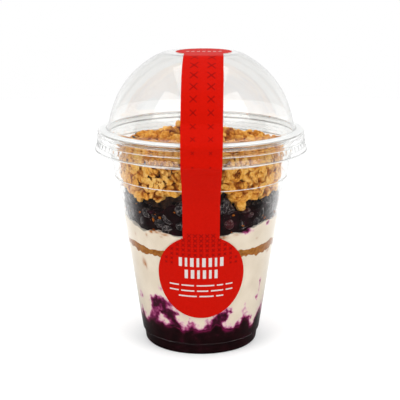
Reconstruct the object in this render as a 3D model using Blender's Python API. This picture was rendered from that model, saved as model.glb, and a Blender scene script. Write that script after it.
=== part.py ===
"""Yogurt parfait in a clear deli cup with a dome lid, sealed by a paper label.

Metres, +Z up. The origin is the middle of the foot, on the table. The front, where
the label's round end sits, faces -Y. The cup, the lid and the food layers are turned
round the Z axis; the food layers then get uneven tops.
"""

import math

import bmesh
import bpy

MM = 0.001
SEGMENTS = 40

# Cup, outside, in millimetres.
FOOT_RADIUS = 25.8
FOOT_RIM_RADIUS = 27.4
FOOT_HEIGHT = 4.6
PUSH_UP = 2.2
PUSH_UP_RADIUS = 20.5
BODY_BOTTOM = (28.1, 5.9)
BODY_TOP = (39.4, 79.2)
LEDGE_TOP = (41.05, 82.1)
NECK_TOP = (44.4, 100.8)
CUP_WALL = 0.6
RIM_CENTRE = (45.9, 102.9)
RIM_RADIUS = 1.4

# Lid, outside, in millimetres.
DOME_RADIUS = 44.1
DOME_CENTRE_HEIGHT = 99.9
DOME_BASE_HEIGHT = 107.9
DOME_SHOULDER_HEIGHT = 139.2
DOME_STEPS = 7
LID_TOP = 140.1
LID_FLAT_RADIUS = 17.2
LID_WALL = 0.6
SKIRT_BOTTOM = (50.0, 94.9)

# Paper label, in millimetres.
LABEL_LIFT = 0.3
LABEL_THICKNESS = 0.3
BAND_HALF_WIDTH = 8.8
TOP_DISC_RADIUS = 13.0
FRONT_DISC_RADIUS = 20.5
FRONT_DISC_HEIGHT = 40.3
FRONT_DISC_STEPS = 8
BAND_MIDDLE = 70.0
BRIDGE_START = 112.0
LABEL_COLUMNS = 7

# Food, in millimetres. Each surface is (mean height at the wall, crown in the middle, waves),
# and each wave round the cup is (how many, size, shift in radians).
FOOD_GAP = 0.3
LAYER_GAP = 0.4
FOOD_RINGS = (1.0, 0.72, 0.36)
LUMP = 0.12
JAM_TOP = (14.0, 0.0, ((1, 0.4, 0.6), (4, 0.9, 2.2), (7, 1.1, 2.6)))
LOWER_YOGURT_TOP = (49.4, 0.0, ((1, 0.3, 2.8), (3, 0.5, 0.7), (5, 0.5, 1.9)))
PEANUT_CREAM_TOP = (52.2, 0.0, ((1, 0.3, 2.8), (3, 0.4, 0.7), (4, 0.3, 1.2)))
UPPER_YOGURT_TOP = (61.6, 0.0, ((1, 0.6, 2.6), (3, 0.8, 2.9), (5, 0.7, 0.5)))
BERRY_TOP = (73.6, 0.0, ((2, 0.9, 0.3), (4, 1.0, 0.2), (6, 1.3, 2.7)))
GRANOLA_TOP = (97.6, 7.4, ((3, 0.7, 1.0), (5, 0.6, 2.0), (7, 0.5, 0.4)))


def principled(name, colour, roughness, transmission=0.0):
    """A Principled material of one linear colour."""
    material = bpy.data.materials.new(name)
    material.use_nodes = True
    shader = material.node_tree.nodes["Principled BSDF"]
    shader.inputs["Base Color"].default_value = (*colour, 1.0)
    shader.inputs["Roughness"].default_value = roughness
    shader.inputs["Transmission Weight"].default_value = transmission
    return material


def add_object(name, mesh_builder, material):
    """Puts a finished bmesh into the scene as one named object."""
    bmesh.ops.recalc_face_normals(mesh_builder, faces=mesh_builder.faces)
    mesh = bpy.data.meshes.new(name)
    mesh_builder.to_mesh(mesh)
    mesh_builder.free()
    mesh.materials.append(material)
    mesh.shade_smooth()
    mesh.set_sharp_from_angle(angle=math.radians(35))
    made = bpy.data.objects.new(name, mesh)
    bpy.context.collection.objects.link(made)
    return made


def turned(profile):
    """A closed bmesh from (radius, height) points that start and end on the axis."""
    built = bmesh.new()
    corners = [built.verts.new((0.0, -radius * MM, height * MM)) for radius, height in profile]
    edges = [built.edges.new(pair) for pair in zip(corners, corners[1:])]
    bmesh.ops.spin(
        built,
        geom=corners + edges,
        cent=(0, 0, 0),
        axis=(0, 0, 1),
        angle=math.tau,
        steps=SEGMENTS,
        use_merge=True,
    )
    bmesh.ops.remove_doubles(built, verts=built.verts, dist=0.00001)
    return built


def arc(centre, radius, first, last, steps):
    """(radius, height) points on a circle, by degrees from straight outwards."""
    points = []
    for step in range(steps + 1):
        angle = math.radians(first + (last - first) * step / steps)
        points.append((centre[0] + radius * math.cos(angle), centre[1] + radius * math.sin(angle)))
    return points


def along(height, low, high):
    """The radius at a height on the straight line between two (radius, height) points."""
    share = (height - low[1]) / (high[1] - low[1])
    return low[0] + share * (high[0] - low[0])


def inner_radius(height):
    """The inside radius of the cup's body or neck at a height."""
    if height < BODY_TOP[1]:
        return along(height, BODY_BOTTOM, BODY_TOP) - CUP_WALL
    return along(height, LEDGE_TOP, NECK_TOP) - CUP_WALL


def dome_arc(low, high, inset=0.0):
    """Points on the dome's sphere between two heights."""
    radius = DOME_RADIUS - inset
    first, last = (
        math.degrees(math.asin((height - DOME_CENTRE_HEIGHT) / radius)) for height in (low, high)
    )
    return arc((0.0, DOME_CENTRE_HEIGHT), radius, first, last, DOME_STEPS)


def make_cup(material):
    """Thin wall with a foot ring, a stacking ledge and a rolled rim."""
    outside = [
        (0.0, PUSH_UP),
        (PUSH_UP_RADIUS, PUSH_UP),
        (PUSH_UP_RADIUS + 1.5, 0.0),
        (FOOT_RADIUS, 0.0),
        (FOOT_RIM_RADIUS - 0.5, 0.9),
        (FOOT_RIM_RADIUS, FOOT_HEIGHT),
        (FOOT_RIM_RADIUS - 0.2, FOOT_HEIGHT + 0.6),
        BODY_BOTTOM,
        BODY_TOP,
        LEDGE_TOP,
        NECK_TOP,
    ]
    rim = arc(RIM_CENTRE, RIM_RADIUS, -135, 180, 7)
    floor_height = PUSH_UP + CUP_WALL
    inside = [
        (NECK_TOP[0] - CUP_WALL, NECK_TOP[1]),
        (LEDGE_TOP[0] - CUP_WALL, LEDGE_TOP[1]),
        (BODY_TOP[0] - CUP_WALL, BODY_TOP[1]),
        (BODY_BOTTOM[0] - CUP_WALL, BODY_BOTTOM[1]),
        (FOOT_RIM_RADIUS - 2 * CUP_WALL, floor_height),
        (0.0, floor_height),
    ]
    return add_object("cup", turned(outside + rim + inside), material)


def make_lid(material):
    """Dome with a flat top, a round flange that caps the rim, and a flared skirt."""
    outside = [(0.0, LID_TOP), (LID_FLAT_RADIUS, LID_TOP)]
    outside += dome_arc(DOME_SHOULDER_HEIGHT, DOME_BASE_HEIGHT)
    outside += [
        (44.0, 106.7),
        (45.5, 106.2),
        (47.4, 105.0),
        (48.5, 103.7),
        (48.95, 102.3),
        (48.8, 100.6),
        (48.5, 99.4),
        (48.9, 98.4),
        SKIRT_BOTTOM,
    ]
    inside = [
        (SKIRT_BOTTOM[0] - LID_WALL, SKIRT_BOTTOM[1]),
        (48.3, 98.3),
        (47.9, 99.4),
        (48.2, 100.7),
        (48.3, 102.3),
        (47.9, 103.6),
        (46.9, 104.7),
        (45.3, 105.6),
        (43.5, 106.1),
    ]
    inside += dome_arc(DOME_BASE_HEIGHT, DOME_SHOULDER_HEIGHT - 0.4, LID_WALL)
    inside += [(LID_FLAT_RADIUS - 0.2, LID_TOP - LID_WALL), (0.0, LID_TOP - LID_WALL)]
    return add_object("lid", turned(outside + inside), material)


def surface_height(surface, x, y):
    """Height of an uneven surface: a crown in the middle, and waves that are full at the wall."""
    mean, crown, waves = surface
    edge = inner_radius(mean) * MM
    turn = math.atan2(x, -y)
    reach = min(1.0, math.hypot(x, y) / edge)
    heap = math.cos(reach * math.pi / 2) + LUMP * math.cos(4.2 * x / edge + 0.9) * (1 - reach**2)
    ripple = sum(size * math.cos(count * turn + shift) for count, size, shift in waves)
    return mean + crown * heap + reach**2 * ripple


def flat_surface(mean):
    """(radius, height) points across the cup at one height, from the wall to the middle."""
    radius = inner_radius(mean) - FOOD_GAP
    return [(radius * ring, mean) for ring in FOOD_RINGS] + [(0.0, mean)]


def shape_surface(built, surface, lift):
    """Moves the flat surface at the mean height to its uneven heights, out to the wall."""
    mean = surface[0]
    for vertex in built.verts:
        if abs(vertex.co.z / MM - mean) > 0.01:
            continue
        x, y = vertex.co.x, vertex.co.y
        height = surface_height(surface, x, y) + lift
        reach = math.hypot(x, y)
        vertex.co.z = height * MM
        if reach > 0.9 * inner_radius(mean) * MM:
            radius = (inner_radius(height) - FOOD_GAP) * MM
            vertex.co.x, vertex.co.y = x * radius / reach, y * radius / reach


def finish_food(name, built, material):
    """Triangulates the uneven faces and puts the layer into the scene."""
    bmesh.ops.triangulate(built, faces=built.faces, quad_method="SHORT_EDGE")
    return add_object(name, built, material)


def make_jam(material):
    """The bottom layer: its foot follows the cup's floor, its top is uneven."""
    floor_height = PUSH_UP + CUP_WALL + FOOD_GAP
    floor_radius = FOOT_RIM_RADIUS - 2 * CUP_WALL - FOOD_GAP - 0.1
    wall = (BODY_BOTTOM[0] - CUP_WALL - FOOD_GAP, BODY_BOTTOM[1] + 0.1)
    profile = [(0.0, floor_height), (floor_radius, floor_height), wall]
    built = turned(profile + flat_surface(JAM_TOP[0]))
    shape_surface(built, JAM_TOP, -LAYER_GAP / 2)
    finish_food("jam", built, material)


def make_layer(name, low, high, material, corners=()):
    """A layer between two uneven surfaces. corners are where the cup's wall bends beside it."""
    sides = [(radius - CUP_WALL - FOOD_GAP, height) for radius, height in corners]
    built = turned(flat_surface(low[0])[::-1] + sides + flat_surface(high[0]))
    shape_surface(built, low, LAYER_GAP / 2)
    shape_surface(built, high, -LAYER_GAP / 2)
    finish_food(name, built, material)


def make_food(materials):
    """The six layers, from the jam at the floor to the granola heap."""
    make_jam(materials["jam"])
    make_layer("yogurt_lower", JAM_TOP, LOWER_YOGURT_TOP, materials["yogurt"])
    make_layer("peanut_cream", LOWER_YOGURT_TOP, PEANUT_CREAM_TOP, materials["peanut_cream"])
    make_layer("yogurt_upper", PEANUT_CREAM_TOP, UPPER_YOGURT_TOP, materials["yogurt"])
    make_layer("berry_layer", UPPER_YOGURT_TOP, BERRY_TOP, materials["berry"])
    make_layer("granola", BERRY_TOP, GRANOLA_TOP, materials["granola"], (BODY_TOP, LEDGE_TOP))


def label_path():
    """(radius, height, half width) rows of the label's inner face, from the lid's flat top down.

    The paper clings to the dome, bridges to the flange, folds over the skirt's edge, hangs
    in free air back to the cup below the ledge, and ends in the round front.
    """
    path = [(15.0, LID_TOP + LABEL_LIFT), (LID_FLAT_RADIUS + 0.2, LID_TOP + LABEL_LIFT)]
    path += dome_arc(DOME_SHOULDER_HEIGHT, BRIDGE_START, -LABEL_LIFT)
    path += [(45.7, 107.9), (48.1, 104.9), (48.9, 103.7), (49.3, 102.3), (49.4, 99.5)]
    path += [(SKIRT_BOTTOM[0] + LABEL_LIFT, SKIRT_BOTTOM[1] + 0.1), (49.9, 94.2)]
    path += [(46.6, 90.6), (43.8, 87.2), (42.2, 84.6), (41.4, 82.2), (39.8, 78.8)]
    path.append((along(BAND_MIDDLE, BODY_BOTTOM, BODY_TOP) + LABEL_LIFT, BAND_MIDDLE))
    rows = [(radius, height, BAND_HALF_WIDTH) for radius, height in path]
    first = math.asin(BAND_HALF_WIDTH / FRONT_DISC_RADIUS)
    last = math.radians(176)
    for step in range(FRONT_DISC_STEPS + 1):
        turn = first + (last - first) * step / FRONT_DISC_STEPS
        height = FRONT_DISC_HEIGHT + FRONT_DISC_RADIUS * math.cos(turn)
        radius = along(height, BODY_BOTTOM, BODY_TOP) + LABEL_LIFT
        rows.append((radius, height, FRONT_DISC_RADIUS * math.sin(turn)))
    return rows


def label_rows(lift):
    """Rows of points across the label, lifted off its inner face, from the back of the lid."""
    columns = [2 * column / LABEL_COLUMNS - 1 for column in range(LABEL_COLUMNS + 1)]
    rows = []
    for turn in (176, 150, 125, 100, 80, 60, 45):
        half = TOP_DISC_RADIUS * math.sin(math.radians(turn))
        y = -TOP_DISC_RADIUS * math.cos(math.radians(turn))
        rows.append([(side * half, y, LID_TOP + LABEL_LIFT + lift) for side in columns])
    path = label_path()
    for index, (radius, height, half) in enumerate(path):
        before, after = path[max(0, index - 1)], path[min(len(path) - 1, index + 1)]
        run = (after[0] - before[0], after[1] - before[1])
        out = radius - run[1] / math.hypot(*run) * lift
        up = height + run[0] / math.hypot(*run) * lift
        row = []
        for side in columns:
            across = side * half / out
            turn = math.asin(across) if height > SKIRT_BOTTOM[1] else across
            row.append((out * math.sin(turn), -out * math.cos(turn), up))
        rows.append(row)
    return rows


def make_label(material):
    """A closed thin shell: an inner and an outer sheet of rows, joined round the edge."""
    built = bmesh.new()
    sheets = []
    for lift in (0.0, LABEL_THICKNESS):
        sheets.append(
            [
                [built.verts.new([value * MM for value in point]) for point in row]
                for row in label_rows(lift)
            ]
        )
    inner, outer = sheets
    last = len(inner) - 1
    for sheet in sheets:
        for upper, lower in zip(sheet, sheet[1:]):
            for column in range(LABEL_COLUMNS):
                built.faces.new(
                    (upper[column], upper[column + 1], lower[column + 1], lower[column])
                )
    for column in range(LABEL_COLUMNS):
        for row in (0, last):
            built.faces.new(
                (inner[row][column], inner[row][column + 1], outer[row][column + 1], outer[row][column])
            )
    for row in range(last):
        for column in (0, LABEL_COLUMNS):
            built.faces.new(
                (inner[row][column], inner[row + 1][column], outer[row + 1][column], outer[row][column])
            )
    return add_object("label", built, material)


def main():
    for old in list(bpy.data.objects):
        bpy.data.objects.remove(old)
    materials = {
        "clear": principled("clear_plastic", (0.95, 0.96, 0.96), 0.05, 1.0),
        "label": principled("label_paper", (0.60, 0.012, 0.004), 0.4),
        "jam": principled("dark_berry_jam", (0.02, 0.003, 0.006), 0.15),
        "yogurt": principled("yogurt", (0.80, 0.74, 0.65), 0.35),
        "peanut_cream": principled("peanut_cream", (0.42, 0.20, 0.05), 0.4),
        "berry": principled("berries", (0.015, 0.010, 0.012), 0.2),
        "granola": principled("granola", (0.47, 0.23, 0.07), 0.7),
    }
    make_cup(materials["clear"])
    make_lid(materials["clear"])
    make_food(materials)
    make_label(materials["label"])


main()
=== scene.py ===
# %% [markdown]
# # A yogurt parfait in a clear cup
#
# The real thing is a tapered cup and a dome lid, both pressed from thin clear PET, with
# layers of berry jam, yogurt, nut cream, yogurt, dark berries and granola inside, and one
# red paper label that seals the lid to the cup. We build each piece the way it would be
# modelled by hand, inside the fixed CAD frame, and give each one the finish of the real
# material.

# %% Load the frame and measure it
import math
import random
from functools import partial

import bpy
import numpy as np
from mathutils import Euler, Matrix, Vector, noise


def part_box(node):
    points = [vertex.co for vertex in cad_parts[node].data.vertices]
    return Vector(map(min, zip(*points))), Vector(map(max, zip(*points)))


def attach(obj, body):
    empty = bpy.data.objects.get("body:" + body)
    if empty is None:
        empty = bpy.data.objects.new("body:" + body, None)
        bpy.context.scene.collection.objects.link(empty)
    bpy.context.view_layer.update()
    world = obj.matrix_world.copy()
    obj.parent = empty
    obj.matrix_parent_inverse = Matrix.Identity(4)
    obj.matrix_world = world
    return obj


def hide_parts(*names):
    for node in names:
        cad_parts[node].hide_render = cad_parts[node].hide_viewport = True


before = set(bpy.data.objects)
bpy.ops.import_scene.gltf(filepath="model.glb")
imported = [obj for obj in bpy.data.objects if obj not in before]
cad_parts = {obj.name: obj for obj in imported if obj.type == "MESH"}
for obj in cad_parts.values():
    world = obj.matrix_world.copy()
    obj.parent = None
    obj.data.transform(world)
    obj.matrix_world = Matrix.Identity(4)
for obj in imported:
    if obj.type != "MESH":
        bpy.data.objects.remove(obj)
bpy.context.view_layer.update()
MM = 0.001
LID_TOP_DROP = 0.75
SKIRT_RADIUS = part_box("lid")[1].x / MM
LID_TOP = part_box("lid")[1].z / MM - LID_TOP_DROP
print("lid:", round(SKIRT_RADIUS, 1), "mm radius, top at", round(LID_TOP, 1), "mm")

# %% [markdown]
# ## Working by hand, from a script
#
# Blender's operators act on whatever is selected, so every piece starts by deselecting
# everything. A turned piece, such as a cup, is drawn as a potter would: a bare circle at
# one end, then one ring after another, each extruded and resized, and a face to fill the
# last one. The start stays open. (An extruded disc would leave a hidden lid behind there.)

# %% Helpers for operators
def deselect():
    """Leaves edit mode and selects nothing."""
    if bpy.context.object and bpy.context.object.mode != "OBJECT":
        bpy.ops.object.mode_set(mode="OBJECT")
    bpy.ops.object.select_all(action="DESELECT")


def activate(piece):
    """Makes a piece the only selected and active one."""
    deselect()
    piece.select_set(True)
    bpy.context.view_layer.objects.active = piece


def modify(piece, kind, **settings):
    """Adds a modifier with its settings and applies it."""
    activate(piece)
    modifier = piece.modifiers.new(kind.title(), kind)
    for key, value in settings.items():
        setattr(modifier, key, value)
    bpy.ops.object.modifier_apply(modifier=modifier.name)


def settle(piece, name, cad_node=None, smooth_angle=40):
    """Puts a piece's place into its mesh, names it, shades it smooth and fixes it to its body.

    It takes the place of a CAD node, if one is named.
    """
    activate(piece)
    bpy.ops.object.transform_apply(location=True, rotation=True, scale=True)
    bpy.ops.object.shade_smooth_by_angle(angle=math.radians(smooth_angle))
    piece.name = name
    piece.data.name = name
    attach(piece, "root")
    if cad_node:
        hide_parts(cad_node)
    print(f"{name}: {len(piece.data.polygons)} faces")
    return piece


def select_faces(piece, wanted):
    """Goes into edit mode with only the faces selected that a test picks by their centres."""
    bpy.ops.object.mode_set(mode="EDIT")
    bpy.context.tool_settings.mesh_select_mode = (False, False, True)
    bpy.ops.mesh.select_all(action="DESELECT")
    bpy.ops.object.mode_set(mode="OBJECT")
    for face in piece.data.polygons:
        face.select = wanted(face.center)
    print("selected", sum(face.select for face in piece.data.polygons), "faces")
    bpy.ops.object.mode_set(mode="EDIT")


def leave_faces():
    """Leaves edit mode, and goes back to selecting by vertex."""
    bpy.ops.object.mode_set(mode="OBJECT")
    bpy.context.tool_settings.mesh_select_mode = (True, False, False)


def join(pieces):
    """Joins pieces into one, which it returns."""
    activate(pieces[0])
    for piece in pieces:
        piece.select_set(True)
    bpy.ops.object.join()
    return bpy.context.object


def add_attribute(piece, name, values):
    """Writes one number for each point of a piece, which a material can read by name."""
    attribute = piece.data.attributes.new(name, "FLOAT", "POINT")
    attribute.data.foreach_set("value", values)


# %% [markdown]
# An outline is drawn in side view, as (radius, height) points in mm. `rounded` eases its
# corners, because a moulded sheet has no sharp ones, and `turn` makes the surface.

# %% Outlines and turning
def rounded(corners, steps=4):
    """Outline points from (radius, height, rounding) corners, each eased into a short curve."""
    points = [tuple(corners[0][:2])]
    for before, corner, after in zip(corners, corners[1:], corners[2:]):
        here = Vector(corner[:2])
        back, ahead = Vector(before[:2]) - here, Vector(after[:2]) - here
        if corner[2] == 0:
            points.append(tuple(here))
            continue
        start = here + back.normalized() * min(corner[2], 0.45 * back.length)
        end = here + ahead.normalized() * min(corner[2], 0.45 * ahead.length)
        for step in range(steps + 1):
            share = step / steps
            eased = start * (1 - share) ** 2 + here * 2 * share * (1 - share) + end * share**2
            points.append(tuple(eased))
    return points + [tuple(corners[-1][:2])]


def arc(centre, radius, first, last, steps):
    """(radius, height) points on a circle, by degrees from straight outwards."""
    turns = [math.radians(first + (last - first) * step / steps) for step in range(steps + 1)]
    return [(centre[0] + radius * math.cos(t), centre[1] + radius * math.sin(t)) for t in turns]


def turn(outline, segments):
    """A turned surface along an outline in mm. Its first ring is open, and its last is closed."""
    deselect()
    radius, height = outline[0]
    bpy.ops.mesh.primitive_circle_add(
        vertices=segments, radius=radius * MM, location=(0, 0, height * MM), fill_type="NOTHING"
    )
    bpy.ops.object.mode_set(mode="EDIT")
    for (radius, height), (wider, higher) in zip(outline, outline[1:]):
        bpy.ops.mesh.extrude_region_move(
            TRANSFORM_OT_translate={"value": (0, 0, (higher - height) * MM)}
        )
        grow = wider / radius
        bpy.ops.transform.resize(value=(grow, grow, 1), center_override=(0, 0, higher * MM))
    bpy.ops.mesh.edge_face_add()
    bpy.ops.mesh.select_all(action="SELECT")
    bpy.ops.mesh.normals_make_consistent(inside=False)
    bpy.ops.object.mode_set(mode="OBJECT")
    return bpy.context.object


# %% [markdown]
# ## Materials as recipes
#
# Every material is a Principled shader plus a few texture nodes. `node` adds one node with
# its settings and links, which is all the tooling we need. Colours are written as sRGB hex
# values, as a paint chart gives them, and turned into the linear values that light works in.

# %% Helpers for materials
MAIN_NODES = {"Surface": "Material Output", "Strength": "Background"}


def linear(code):
    """A linear colour from an sRGB hex value."""
    parts = [int(code[place : place + 2], 16) / 255 for place in (0, 2, 4)]
    return [p / 12.92 if p <= 0.04045 else ((p + 0.055) / 1.055) ** 2.4 for p in parts] + [1.0]


def main_shader(material):
    """The Principled shader of a material."""
    return material.node_tree.nodes["Principled BSDF"]


def new_material(name, colour, **settings):
    """A material with plain values on its main shader's sockets, and a way to add nodes to it."""
    material = bpy.data.materials.new(name)
    material.use_nodes = True
    sockets = main_shader(material).inputs
    sockets["Base Color"].default_value = linear(colour)
    for key, value in settings.items():
        sockets[key.replace("_", " ")].default_value = value
    return material, partial(node, material.node_tree)


def result(value):
    """The first live output of a node. Anything else stays as it is."""
    if isinstance(value, bpy.types.Node):
        return next(socket for socket in value.outputs if socket.enabled)
    return value


def node(tree, kind, settings=None, stops=(), to=None, **links):
    """Adds a node. settings are its properties, and stops a ramp's (position, colour) pairs.

    links are its inputs, by name or as i and a number, and each takes a number, a socket or
    another node. `to` names the socket of the main shader or output that the result feeds.
    """
    made = tree.nodes.new("ShaderNode" + kind)
    for key, value in (settings or {}).items():
        setattr(made, key, value)
    if stops:
        while len(made.color_ramp.elements) < len(stops):
            made.color_ramp.elements.new(0.5)
        for element, (position, colour) in zip(made.color_ramp.elements, stops):
            element.position = position
            element.color = linear(colour)
    for key, value in links.items():
        numbered = key[0] == "i" and key[1:].isdigit()
        socket = made.inputs[int(key[1:]) if numbered else key.replace("_", " ")]
        if isinstance(result(value), bpy.types.NodeSocket):
            tree.links.new(result(value), socket)
        else:
            socket.default_value = value
    if to:
        owner = tree.nodes[MAIN_NODES.get(to, "Principled BSDF")]
        tree.links.new(result(made), owner.inputs[to])
    return made


def per_mm(size):
    """The texture scale that repeats every so many millimetres on coordinates in metres."""
    return 1 / (size * MM)


def mottle(add, grain_mm, detail, dark, light, low=0.3, high=0.7):
    """Lets a surface drift between two tones in grains of that size. Returns the grain."""
    place = add("TexCoord").outputs["Object"]
    grain = add("TexNoise", Vector=place, Scale=per_mm(grain_mm), Detail=detail)
    tones = ((low, dark), (high, light))
    add("ValToRGB", stops=tones, Fac=grain, to="Base Color")
    return grain


# %% [markdown]
# ## The room
#
# A product on a white sweep: a white floor, a white room, one large softbox overhead and two
# above the front corners. In a studio, black cloth in front and a polarising filter keep
# glare off clear plastic. We do the same: what shows in a mirror image, after one bounce off
# a shiny surface, is a second room that is white at the back, bright at the sides and dark
# low in front. So the food stays clear behind the plastic, while the rims and the dome's
# shoulders still catch light.

# %% Camera
CAMERA_PLACE = (0, -0.522, 0.196)
CAMERA_PITCH = 13.73
LENS = 100.8
LENS_SHIFT = -0.0025

camera_data = bpy.data.cameras.new("camera")
camera_data.lens = LENS
camera_data.shift_x = LENS_SHIFT
camera = bpy.data.objects.new("camera", camera_data)
camera.location = CAMERA_PLACE
camera.rotation_euler = (math.radians(90 - CAMERA_PITCH), 0, 0)
bpy.context.collection.objects.link(camera)
bpy.context.scene.camera = camera
bpy.context.scene.view_settings.view_transform = "Standard"
print("camera at", [round(v, 3) for v in camera.location])

# %% [markdown]
# A ray knows its own history, and the Light Path node reads it out. The mask picks the rays
# that were mirrored exactly once, so the many reflections inside a rim stay bright. The
# floor glows a little, which keeps it an even white, and its mirror image fades to dark in
# front of the cup.

# %% Floor
SMOOTH = {"interpolation_type": "SMOOTHSTEP"}
FLOOR_RADIUS = 0.8
FLOOR_GLOW = 0.12
FADE_FROM, FADE_TO = -0.03, 0.13


def mirror_mask(add):
    """1 for a ray that was mirrored once on its way, and 0 for the others."""
    ray = add("LightPath").outputs
    once = add("Math", {"operation": "COMPARE"}, i0=ray["Glossy Depth"], i1=1.0, i2=0.5)
    clamped = {"operation": "SUBTRACT", "use_clamp": True}
    return add("Math", clamped, i0=once, i1=ray["Is Diffuse Ray"])


deselect()
bpy.ops.mesh.primitive_circle_add(vertices=96, radius=FLOOR_RADIUS, fill_type="NGON")
floor = bpy.context.object
floor.name = "floor"
floor_material, add = new_material(
    "matt white sweep",
    "F4F4F4",
    Roughness=0.9,
    Emission_Strength=FLOOR_GLOW,
    Emission_Color=linear("FFFFFF"),
)
floor.data.materials.append(floor_material)
split = add("SeparateXYZ", Vector=add("TexCoord").outputs["Object"])
ahead = split.outputs["Y"]
behind = add("MapRange", SMOOTH, Value=ahead, From_Min=FADE_FROM, From_Max=FADE_TO)
grey = add("ValToRGB", stops=((0.0, "343434"), (1.0, "F0F0F0")), Fac=behind)
dimmed = add("BsdfDiffuse", Color=grey)
add("MixShader", Fac=mirror_mask(add), i1=main_shader(floor_material), i2=dimmed, to="Surface")
print("floor:", FLOOR_RADIUS, "m radius")

# %% [markdown]
# The world is plain white, a little dimmer for the light that it sheds on the food. Its
# mirror image is built from directions: `tent` is the part in front and overhead, brighter
# to the sides, and `sweep` is the part at the back, brighter low down.

# %% World
SHED_LESS = 0.25
DARKEST = 0.12

world = bpy.data.worlds.new("white room")
bpy.context.scene.world = world
world.use_nodes = True
add = partial(node, world.node_tree)
split = add("SeparateXYZ", Vector=add("TexCoord").outputs["Generated"])
ahead, up = split.outputs["Y"], split.outputs["Z"]
front = add("MapRange", SMOOTH, Value=ahead, From_Min=0.06, From_Max=-0.06)
above = add("MapRange", SMOOTH, Value=up, From_Min=0.12, From_Max=0.42)
tent = add("Math", {"operation": "MULTIPLY"}, i0=front, i1=above)
sideways = add("Math", {"operation": "ABSOLUTE"}, i0=split.outputs["X"])
brighter = add(
    "MapRange", SMOOTH, Value=sideways, From_Min=0.35, From_Max=0.9, To_Min=0.35, To_Max=1.0
)
lower = add("MapRange", SMOOTH, Value=up, From_Min=0.4, From_Max=0.05, To_Min=0.65, To_Max=1.0)
back = add("Math", {"operation": "SUBTRACT"}, i0=1.0, i1=front)
sweep = add("Math", {"operation": "MULTIPLY"}, i0=back, i1=lower)
room = add("Math", {"operation": "MULTIPLY_ADD"}, i0=tent, i1=brighter, i2=sweep)
room = add("Math", {"operation": "MAXIMUM"}, i0=room, i1=DARKEST)
shed = add("LightPath").outputs["Is Diffuse Ray"]
plain = add("Math", {"operation": "MULTIPLY_ADD"}, i0=shed, i1=-SHED_LESS, i2=1.0)
world.node_tree.nodes["Background"].inputs["Color"].default_value = linear("FFFFFF")
add("Mix", {"data_type": "FLOAT"}, i0=mirror_mask(add), i2=plain, i3=room, to="Strength")
print("world:", len(world.node_tree.nodes), "nodes")

# %% [markdown]
# The softboxes are square area lights, aimed at the middle of the cup. Neither the camera
# nor a mirror image sees them, so they leave no square glints on the plastic.

# %% Softboxes
AIM = Vector((0, 0, 0.07))


def softbox(name, place, size, watts):
    """A square area light that faces the object."""
    light = bpy.data.lights.new(name, "AREA")
    light.size = size
    light.energy = watts
    holder = bpy.data.objects.new(name, light)
    holder.location = place
    holder.rotation_euler = (AIM - Vector(place)).to_track_quat("-Z", "Y").to_euler()
    holder.visible_camera = False
    holder.visible_glossy = False
    bpy.context.collection.objects.link(holder)
    print(name, watts, "W")


softbox("overhead softbox", (0.0, 0.0, 1.5), 1.2, 9.0)
softbox("left softbox", (-0.7, -0.6, 0.85), 0.7, 4.6)
softbox("right softbox", (0.7, -0.6, 0.85), 0.7, 4.6)

# %% [markdown]
# ## Clear PET
#
# The cup and the lid are thermoformed: a hot sheet of PET is sucked over a mould, which
# leaves walls about half a millimetre thick, soft corners and a glassy surface. PET bends
# light a little more than glass does (IOR 1.57). A real thin wall would also block lamp
# rays in a renderer, so shadow and diffuse rays pass straight through.

# %% The PET material
PET_IOR = 1.57

pet, add = new_material(
    "clear thermoformed PET", "F9F9F8", Roughness=0.01, IOR=PET_IOR, Transmission_Weight=1.0
)
ray = add("LightPath").outputs
either = {"operation": "MAXIMUM"}
passing = add("Math", either, i0=ray["Is Shadow Ray"], i1=ray["Is Diffuse Ray"])
straight = add("BsdfTransparent", Color=linear("F4F5F5"))
add("MixShader", Fac=passing, i1=main_shader(pet), i2=straight, to="Surface")
print("PET: IOR", PET_IOR)

# %% [markdown]
# ## The cup
#
# The sheet runs from the curled rim down the neck, in over the stacking ledge, down the
# straight tapered body to the foot, and under the pushed-up bottom. We turn that line and
# give it a wall with Solidify, which grows it inwards.

# %% Turn the cup
WALL = 0.5
BODY_LOW = (28.35, 5.9)
BODY_HIGH = (39.4, 79.2)
LEDGE_HIGH = (41.05, 82.1)
NECK_HIGH = (44.4, 100.8)
CURL_CENTRE, CURL_RADIUS = (45.6, 102.4), 1.1
CUP_SEGMENTS = 160

curl = arc(CURL_CENTRE, CURL_RADIUS, -150, 180, 14)
below_curl = rounded(
    [
        (CURL_CENTRE[0] - CURL_RADIUS, CURL_CENTRE[1], 0),
        (*NECK_HIGH, 0.8),
        (*LEDGE_HIGH, 0.9),
        (*BODY_HIGH, 1.2),
        (*BODY_LOW, 0.5),
        (27.25, 5.3, 0.3),
        (27.45, 4.5, 0.4),
        (26.95, 0.8, 0.5),
        (26.1, 0.0, 0.7),
        (22.2, 0.0, 0.8),
        (20.7, 2.1, 0.7),
        (4.0, 2.3, 0.5),
        (1.0, 2.3, 0),
    ]
)
cup = turn(curl + below_curl[1:], CUP_SEGMENTS)
modify(cup, "SOLIDIFY", thickness=WALL * MM, offset=-1.0, use_even_offset=True)
cup.data.materials.append(pet)
settle(cup, "clear_cup", "cup")

# %% [markdown]
# ## The dome lid
#
# The lid is a dome with a flat top, a rounded flange that caps the cup's rim, a groove that
# snaps under it, and a flared skirt with small crimps that stiffen it. We draw it from the
# skirt's edge upwards.

# %% Turn the lid
DOME_RADIUS, DOME_RISE = 44.1, 43.3
DOME_CENTRE = 99.9
TOP_CORNER = (18.2, LID_TOP, 2.0)
LID_WALL = 0.5
LID_SEGMENTS = 144
CRIMP_LOW, CRIMP_HIGH = 96.4, 98.9


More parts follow.
